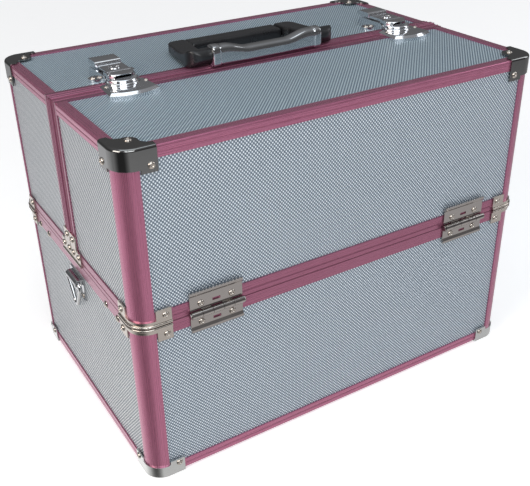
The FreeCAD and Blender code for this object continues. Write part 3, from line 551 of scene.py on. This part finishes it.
def make_materials():
    along_x = (DIE_LINE_LONG, DIE_LINE_FINE, DIE_LINE_FINE)
    along_y = (DIE_LINE_FINE, DIE_LINE_LONG, DIE_LINE_FINE)
    along_z = (DIE_LINE_FINE, DIE_LINE_FINE, DIE_LINE_LONG)
    return {
        # The tints paint the colour of the light on each facing into one laminate: cool on the walls, cooler
        # on the top and bottom, warm on the sides.
        "panel_wall": panel_material("panel_wall", "X", "Z", tint=(1.02, 1.04, 1.09)),
        "panel_side": panel_material("panel_side", "Y", "Z", tint=(1.08, 1.03, 1.01)),
        "panel_top": panel_material("panel_top", "X", "Y", tint=(1.00, 1.13, 1.24)),
        # The tones paint light and shade into one anodised pink: the edge rails lighter, the rim rails and
        # the split frame darker.
        "rail_posts": anodised_material("rail_posts", 1.0, along_z),
        "rail_edges": anodised_material("rail_edges", 1.10, along_x, along_y, RAIL_TURN),
        "rail_rims": anodised_material("rail_rims", 0.80, along_x, along_y, RAIL_TURN),
        "rail_split": anodised_material("rail_split", 0.72, along_x, along_z, SPLIT_TURN),
        "nickel": nickel_material(),
        "hinge": chrome_material("hinge_nickel", base=(0.42, 0.39, 0.37), rough=(0.09, 0.20)),
        # Dark lid caps and bright base caps are shaded and lit copies of one plating: painted shade and
        # painted reflection.
        "shaded_lid_caps": chrome_material("shaded_lid_caps", base=(0.21, 0.21, 0.205), rough=(0.06, 0.15)),
        "lit_base_caps": chrome_material("lit_base_caps", base=(0.62, 0.63, 0.62), rough=(0.12, 0.22)),
        "chrome": chrome_material("bright_chrome", base=(0.52, 0.53, 0.54), rough=(0.05, 0.14)),
        "latch": chrome_material("latch_chrome", base=(0.72, 0.73, 0.75), rough=(0.07, 0.17)),
        "black": handle_material(),
        "lining": lining_material(),
        "tray": tray_material(),
        "zinc": zinc_material(),
    }


def material_of(node):
    """Name of the material that a CAD node wears."""
    return next((name for word, name in MATERIAL_BY_WORD if word in node), "chrome")


def dress_nodes(materials):
    for name, node in NODES.items():
        node.data.materials.clear()
        node.data.materials.append(materials[material_of(name)])


# ---- camera, light, floor and backdrop ----

def make_camera():
    azimuth = math.radians(CAMERA_AZIMUTH)
    elevation = math.radians(CAMERA_ELEVATION)
    back = Vector((math.sin(azimuth) * math.cos(elevation),
                   -math.cos(azimuth) * math.cos(elevation),
                   math.sin(elevation)))
    data = bpy.data.cameras.new("view")
    data.sensor_width = SENSOR_WIDTH
    data.lens = CAMERA_LENS
    data.clip_start, data.clip_end = CAMERA_CLIP
    camera = new_object("view", data)
    camera.location = CAMERA_PLACE
    camera.rotation_mode = "QUATERNION"
    turn = Quaternion((0, 0, 1), math.radians(CAMERA_ROLL))
    camera.rotation_quaternion = (-back).to_track_quat("-Z", "Y") @ turn
    bpy.context.scene.camera = camera


def make_world():
    """Room seen in the metal: pale ground, dark horizon, grey ceiling, and a darker and a brighter patch."""
    world = bpy.data.worlds.new("studio")
    world.use_nodes = True
    bpy.context.scene.world = world
    tree = world.node_tree
    background = tree.nodes["Background"]
    place = tree.nodes.new("ShaderNodeTexCoord")
    split = tree.nodes.new("ShaderNodeSeparateXYZ")
    height = tree.nodes.new("ShaderNodeMapRange")
    height.inputs["From Min"].default_value = -1.0
    ramp = tree.nodes.new("ShaderNodeValToRGB")
    steps = ramp.color_ramp.elements
    steps[0].position, steps[0].color = 0.0, (*ROOM_GROUND, 1)
    steps[1].position, steps[1].color = 1.0, (*ROOM_CEILING, 1)
    for position, grey in ROOM_GREYS:
        steps.new(position).color = (grey, grey, grey * ROOM_BLUE, 1)
    strength = tree.nodes.new("ShaderNodeMath")
    strength.operation = "MULTIPLY"
    for index, (direction, level) in enumerate(WORLD_PATCHES):
        facing = tree.nodes.new("ShaderNodeVectorMath")
        facing.operation = "DOT_PRODUCT"
        facing.inputs[1].default_value = Vector(direction).normalized()
        patch = tree.nodes.new("ShaderNodeMapRange")
        for name, value in zip(("From Min", "From Max", "To Min", "To Max"), (*PATCH_EDGE, 1.0, level)):
            patch.inputs[name].default_value = value
        tree.links.new(place.outputs["Generated"], facing.inputs[0])
        tree.links.new(facing.outputs["Value"], patch.inputs["Value"])
        tree.links.new(patch.outputs["Result"], strength.inputs[index])
    tree.links.new(place.outputs["Generated"], split.inputs[0])
    tree.links.new(split.outputs["Z"], height.inputs["Value"])
    tree.links.new(height.outputs["Result"], ramp.inputs["Fac"])
    tree.links.new(ramp.outputs["Color"], background.inputs["Color"])
    tree.links.new(strength.outputs[0], background.inputs["Strength"])


def make_lights():
    for name, place, aim, size, power, colour in SOFT_BOXES:
        data = bpy.data.lights.new(name, "AREA")
        data.shape = "RECTANGLE"
        data.size, data.size_y = size
        data.energy = power
        data.color = colour
        light = new_object(name, data)
        light.location = place
        light.rotation_mode = "QUATERNION"
        light.rotation_quaternion = (Vector(aim) - Vector(place)).to_track_quat("-Z", "Y")


def make_floor():
    """Pale glowing floor, which the metal doesn't reflect."""
    bm = bmesh.new()
    bmesh.ops.create_circle(bm, cap_ends=True, segments=FLOOR_SIDES, radius=FLOOR_RADIUS)
    floor = new_object("floor", new_mesh("floor", bm))
    floor.location.z = -FLOOR_DROP
    shader = Shader("pale_floor")
    grain = shader.noise(shader.place(), scale=40.0, detail=3)
    shader.colour(shader.blend(grain, *FLOOR_COLOURS))
    shader.set("Roughness", 0.6)
    shader.set("Emission Color", (1.0, 1.0, 1.0, 1.0))
    distance = shader.node("ShaderNodeVectorMath", shader.place())
    distance.operation = "LENGTH"
    glow = shader.span(distance.outputs["Value"], old=GLOW_DISTANCES, new=GLOW_STRENGTHS)
    shader.set("Emission Strength", glow)
    floor.data.materials.append(shader.material)
    floor.visible_glossy = False


def make_backdrop():
    """Pale studio backdrop, a wall with a rounded ceiling, that neither lights the object nor shows in it."""
    bm = bmesh.new()
    loft(bm, [[(reach * c, reach * s, height) for c, s in circle(BACKDROP_SIDES)]
              for reach, height in BACKDROP_PROFILE], caps=(-1,))
    backdrop = new_object("backdrop", new_mesh("backdrop", bm))
    shader = Shader("backdrop")
    shader.colour((0.0, 0.0, 0.0))
    shader.set("Specular IOR Level", 0.0)
    shader.set("Emission Color", BACKDROP_COLOUR)
    shader.set("Emission Strength", 1.0)
    backdrop.data.materials.append(shader.material)
    for ray in ("diffuse", "glossy", "transmission", "volume_scatter", "shadow"):
        setattr(backdrop, "visible_" + ray, False)


# ---- pieces that keep a node's own shape ----

def close_up(bm, normal, shift, floor):
    """Moves the faces that look along a direction that way, where they are above a level."""
    bm.normal_update()
    turned = {vert for face in bm.faces if face.normal.dot(normal) > FACING for vert in face.verts}
    for vert in turned:
        if vert.co.z > floor:
            vert.co += normal * shift


def add_softened(name, material, width):
    """The node's own shape with its sheet and cast edges rounded over."""
    bm = node_mesh(name)
    bmesh.ops.dissolve_limit(bm, angle_limit=math.radians(FLAT_ANGLE), verts=bm.verts, edges=bm.edges)
    if name == "latch_strikes":
        close_up(bm, STRIKE_SLOPE, STRIKE_SHIFT, TOP + STRIKE_PLATE)
    sharp = [edge for edge in bm.edges
             if len(edge.link_faces) == 2 and edge.calc_face_angle(0.0) > math.radians(SHARP_ANGLE)]
    bmesh.ops.bevel(bm, geom=sharp, offset=width, segments=BEVEL_SEGMENTS, profile=0.5, affect="EDGES",
                    clamp_overlap=True)
    piece = add_piece(name + "_detail", bm, material, [name])
    weighted = piece.modifiers.new("even_shading", "WEIGHTED_NORMAL")
    weighted.keep_sharp = True


def add_moulded(name, material, rounds, reach=None):
    """The node's own shape with the flowing edges of a casting, and without its pins past reach along X."""
    bm = node_mesh(name)
    if reach is not None:
        for side in (-1, 1):
            everything = bm.verts[:] + bm.edges[:] + bm.faces[:]
            bmesh.ops.bisect_plane(bm, geom=everything, plane_co=(side * reach, 0, 0), plane_no=(side, 0, 0),
                                   clear_outer=True)
        bmesh.ops.holes_fill(bm, edges=[edge for edge in bm.edges if edge.is_boundary])
    piece = add_piece(name + "_detail", bm, material, [name], smooth_angle=180.0)
    remesh = piece.modifiers.new("skin", "REMESH")
    remesh.mode = "VOXEL"
    remesh.voxel_size = MOULD_VOXEL
    remesh.use_smooth_shade = True
    flow = piece.modifiers.new("flow", "SMOOTH")
    flow.factor = 0.5
    flow.iterations = rounds


# ---- rivets ----

def rivet_heads(node):
    """Foot centre, outward direction, radius and height of each head of a rivets node."""
    bm = node_mesh(node)
    seen = set()
    heads = []
    for first in bm.verts:
        if first in seen:
            continue
        seen.add(first)
        island = [first]
        for vert in island:
            for edge in vert.link_edges:
                other = edge.other_vert(vert)
                if other not in seen:
                    seen.add(other)
                    island.append(other)
        low = Vector([min(vert.co[axis] for vert in island) for axis in range(3)])
        high = Vector([max(vert.co[axis] for vert in island) for axis in range(3)])
        size = high - low
        thin = min(range(3), key=lambda axis: size[axis])
        middle = (low + high) / 2
        sign = 1.0 if thin == 2 or middle[thin] > 0 else -1.0
        direction = Vector([sign if axis == thin else 0.0 for axis in range(3)])
        heads.append((middle - direction * size[thin] / 2, direction, max(size) / 2, size[thin]))
    bm.free()
    return heads


def add_rivets(node, material):
    """Pressed heads with a rolled edge and a dimple, in place of plain domes."""
    bm = bmesh.new()
    for foot, direction, radius, height in rivet_heads(node):
        turn = direction.to_track_quat("Z", "Y")
        rings = []
        for reach, rise in RIVET_PROFILE:
            rings.append([foot + turn @ Vector((reach * radius * c, reach * radius * s, rise * height))
                          for c, s in circle(RIVET_SIDES)])
        loft(bm, rings, caps=(-1,))
    bmesh.ops.recalc_face_normals(bm, faces=bm.faces)
    add_piece(node + "_detail", bm, material, [node], smooth_angle=60.0)


# ---- handle ----

def grip_top(x):
    """Height of the grip's crown at a place along it."""
    t = min(max((abs(x) - GRIP_FLAT) / (GRIP_SHOULDER - GRIP_FLAT), 0.0), 1.0)
    return GRIP_LOW + (GRIP_HIGH - GRIP_LOW) * (t * t * (3 - 2 * t))


def add_grip(material):
    """Plated grip with a saddle and a raised collar at each end."""
    bm = bmesh.new()
    section = smooth_loop([(*point, 0.0) for point in GRIP_SECTION], GRIP_CURVE_STEPS)
    middle_y = sum(point[0] for point in section) / len(section)
    middle_h = sum(point[1] for point in section) / len(section)
    collar = GRIP_HALF - COLLAR_WIDTH
    ends = [(collar + past, swell) for past, swell in COLLAR_RISE]
    ends += [(GRIP_HALF + past, swell) for past, swell in COLLAR_FALL]
    stations = [(side * x, swell) for side in (-1, 1) for x, swell in ends]
    for step in range(GRIP_STATIONS + 1):
        x = -GRIP_HALF + 2 * GRIP_HALF * step / GRIP_STATIONS
        if abs(x) < collar - COLLAR_CLEARANCE:
            stations.append((x, 1.0))
    rings = []
    for x, swell in sorted(stations):
        stretch = (grip_top(x) - GRIP_FOOT) / (GRIP_HIGH - GRIP_FOOT)
        ring = []
        for point in section:
            y = middle_y + (point[0] - middle_y) * swell
            h = middle_h + (point[1] - middle_h) * swell
            ring.append((x * MM, y * MM, TOP + (GRIP_FOOT + (h - GRIP_FOOT) * stretch) * MM))
        rings.append(ring)
    loft(bm, rings)
    bmesh.ops.recalc_face_normals(bm, faces=bm.faces)
    add_piece("handle_grip_detail", bm, material, ["handle_grip"], smooth_angle=50.0)


# ---- lining ----

def crowded(length, cells, index):
    """Place of a grid line along a length; the lines crowd near both ends."""
    t = index / cells
    return length * (t - BOARD_CROWDING * math.sin(2 * math.pi * t))


def board(bm, corner, along, up, outward, size, depth, seed):
    """Foam board covered in cloth: a puffed face with turned edges, closed behind; seed sets its waves."""
    columns, rows = (max(BOARD_LEAST_CELLS, round(length / BOARD_CELL)) for length in size)
    grid = []
    for row in range(rows + 1):
        line = []
        v = crowded(size[1], rows, row)
        for column in range(columns + 1):
            u = crowded(size[0], columns, column)
            near = min(u, size[0] - u, v, size[1] - v)
            crown = min(1.0, near / BOARD_EDGE)
            rise = depth * (BOARD_HEM + (1 - BOARD_HEM) * math.sqrt(1 - (1 - crown) ** 2))
            place = corner + along * u + up * v
            wave = noise.noise(place * SLOW_WAVE[0] + Vector((seed, 0, 0))) * SLOW_WAVE[1]
            wave += noise.noise(place * QUICK_WAVE[0]) * QUICK_WAVE[1]
            rise += depth * wave * crown
            line.append(bm.verts.new(place + outward * rise))
        grid.append(line)
    for low, high in zip(grid, grid[1:]):
        for index in range(columns):
            bm.faces.new((low[index], low[index + 1], high[index + 1], high[index]))
    loop = grid[0] + [line[-1] for line in grid[1:]] + grid[-1][-2::-1] + [line[0] for line in grid[-2:0:-1]]
    back = [bm.verts.new(vert.co - outward * (vert.co - corner).dot(outward)) for vert in loop]
    for index in range(len(loop)):
        after = (index + 1) % len(loop)
        bm.faces.new((loop[index], back[index], back[after], loop[after]))
    bm.faces.new(back)


def add_base_lining(material):
    """Cloth-covered boards on the floor and four walls of the box, inside a thin skin with a bound rim."""
    low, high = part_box("base_lining")
    bm = bmesh.new()
    x, y = high.x, high.y
    z, top = low.z, high.z
    board(bm, Vector((-x + BOARD_GAP, -y + BOARD_GAP, z)), RIGHT, BACK, UP,
          (2 * (x - BOARD_GAP), 2 * (y - BOARD_GAP)), BASE_BOARD, seed=1)
    height = top - z - BOARD_GAP
    foot = z + BOARD_GAP
    for sign in (-1, 1):
        board(bm, Vector((-x + BOARD_INSET, sign * y, foot)), RIGHT, UP, BACK * -sign,
              (2 * (x - BOARD_INSET), height), BASE_BOARD, seed=2 + sign)
        board(bm, Vector((sign * x, -y + BOARD_INSET, foot)), BACK, UP, RIGHT * -sign,
              (2 * (y - BOARD_INSET), height), BASE_BOARD, seed=5 + sign)
    # (inset in millimetres, height) up the outside of the skin, over its bound rim and down its inside
    skin = ((0.0, z + 1 * MM), (0.0, top - 0.5 * MM), (0.25, top - 0.1 * MM), (0.8, top),
            (1.3, top - 0.4 * MM), (1.5, top - 1.5 * MM), (1.2, top - 5 * MM), (0.5, top - 5.4 * MM),
            (0.4, z + 1 * MM))
    rings = []
    for inset, level in skin:
        outline = rounded_outline(x - SKIN_GAP - inset * MM, y - SKIN_GAP - inset * MM, CORNER_INSIDE)
        rings.append([(px, py, level) for px, py in outline])
    loft(bm, rings, caps=())
    bmesh.ops.recalc_face_normals(bm, faces=bm.faces)
    add_piece("base_lining_detail", bm, material, ["base_lining"], smooth_angle=50.0)


def corner_strip(bm, middle_x, middle_y, side, sign, levels):
    """Quarter-round strip of cloth in an upright corner of a lid, about the middle of the corner's curve."""
    cove = []
    for step in range(CORNER_STEPS):
        angle = math.radians(90.0 * step / (CORNER_STEPS - 1))
        cove.append((math.cos(angle), math.sin(angle)))
    rings = []
    for level in levels:
        ring = []
        for radius, curve in ((CORNER_INSIDE, cove), (CORNER_INSIDE - STRIP_THICKNESS, cove[::-1])):
            for c, s in curve:
                ring.append((side * (middle_x + radius * c), sign * (middle_y + radius * s), level))
        rings.append(ring)
    loft(bm, rings)


def binding(bm, start, end):
    """Round cloth binding along an edge."""
    turn = (end - start).to_track_quat("Z", "Y")
    loft(bm, [[point + turn @ Vector((BINDING_RADIUS * c, BINDING_RADIUS * s, 0.0))
               for c, s in circle(BINDING_SIDES)] for point in (start, end)])


def add_lid_lining(node, sign, material):
    """Cloth-covered boards under the top and down three walls of a lid; sign is the lid's side along Y."""
    low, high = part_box(node)
    bm = bmesh.new()
    x = high.x
    outer = high.y if sign > 0 else -low.y
    inner = low.y if sign > 0 else -high.y
    z, top = low.z, high.z
    away = Vector((0, sign, 0))
    start = away * inner
    depth = outer - inner
    height = top - z - BOARD_GAP
    board(bm, Vector((-x + BOARD_GAP, 0, top)) + start, RIGHT, away, -UP,
          (2 * (x - BOARD_GAP), depth - BOARD_GAP), LID_BOARD, seed=11)
    board(bm, Vector((-x + BOARD_INSET, 0, z)) + away * outer, RIGHT, UP, -away,
          (2 * (x - BOARD_INSET), height), LID_BOARD, seed=12)
    for side in (-1, 1):
        board(bm, Vector((side * x, 0, z)) + start, away, UP, RIGHT * -side,
              (depth - BOARD_INSET, height), LID_BOARD, seed=13 + side)
    for side in (-1, 1):
        corner_strip(bm, x - CORNER_INSIDE, outer - CORNER_INSIDE, side, sign, (z, top - BOARD_GAP))
    reach = x - BINDING_RADIUS
    y = sign * (inner + BINDING_RADIUS)
    foot, crest = z + BINDING_RADIUS, top - BINDING_RADIUS
    for side in (-1, 1):
        binding(bm, Vector((side * reach, y, foot)), Vector((side * reach, y, crest)))
    binding(bm, Vector((-reach, y, crest)), Vector((reach, y, crest)))
    bmesh.ops.recalc_face_normals(bm, faces=bm.faces)
    add_piece(node + "_detail", bm, material, [node], smooth_angle=50.0)


# ---- trays ----

def add_divider(bm, x, y, reach, foot, top):
    """Upright plate with a rounded crest that dips in the middle, flared at its foot."""
    half = DIVIDER_HALF
    rings = []
    for index in range(DIVIDER_STATIONS + 1):
        t = index / DIVIDER_STATIONS
        place = y - reach + 2 * reach * t
        crest = top - DIP_DEPTH * math.exp(-((t - 0.5) / DIP_SHARE) ** 4)
        # (distance from the middle in half thicknesses, height) up one flank
        flank = ((2.4, foot), (1.5, foot + 0.7 * MM), (1.0, foot + 2.4 * MM), (1.0, crest - half),
                 (0.6, crest - 0.3 * half))
        left = [(x - wide * half, place, level) for wide, level in flank]
        right = [(x + wide * half, place, level) for wide, level in reversed(flank)]
        rings.append(left + [(x, place, crest)] + right)
    loft(bm, rings)


def add_tray(node, dividers, material):
    """Moulded tray with a rolled rim, a coved floor, and rounded dividers with finger dips."""
    low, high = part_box(node)
    middle = (low + high) / 2
    half_x = (high.x - low.x) / 2
    half_y = (high.y - low.y) / 2
    z, top = low.z, high.z
    bm = bmesh.new()
    rings = []
    for inset, height in TRAY_SKIN:
        level = (z if height >= 0 else top) + height * MM
        inward = inset * MM
        radius = max(TRAY_CORNER - inward, TRAY_CORNER_LEAST)
        rings.append([(px + middle.x, py + middle.y, level)
                      for px, py in rounded_outline(half_x - inward, half_y - inward, radius)])
    loft(bm, rings)
    for x in dividers:
        add_divider(bm, x * MM, middle.y, half_y - DIVIDER_ROOT, z + DIVIDER_ROOT, top - DIVIDER_DROP)
    bmesh.ops.recalc_face_normals(bm, faces=bm.faces)
    add_piece(node + "_detail", bm, material, [node], smooth_angle=45.0)


# ---- the scene ----

def make_pieces(materials):
    for node in ("base_rivets", "front_lid_rivets", "back_lid_rivets"):
        add_rivets(node, materials["nickel"])
    add_moulded("handle_arms", materials["black"], ARM_ROUNDS)
    add_moulded("handle_base", materials["black"], MOUNT_ROUNDS, MOUNT_REACH)
    add_grip(materials["chrome"])
    for name, radius in EDGED_NODES.items():
        add_softened(name, materials[material_of(name)], radius * MM)
    add_base_lining(materials["lining"])
    add_lid_lining("front_lid_lining", -1, materials["lining"])
    add_lid_lining("back_lid_lining", 1, materials["lining"])
    for side in ("front", "back"):
        add_tray(side + "_lower_tray", LOWER_DIVIDERS, materials["tray"])
        add_tray(side + "_upper_tray", UPPER_DIVIDERS, materials["tray"])


def main():
    bpy.context.scene.view_settings.view_transform = "Standard"
    make_camera()
    make_world()
    make_lights()
    make_floor()
    make_backdrop()
    materials = make_materials()
    dress_nodes(materials)
    make_pieces(materials)


main()
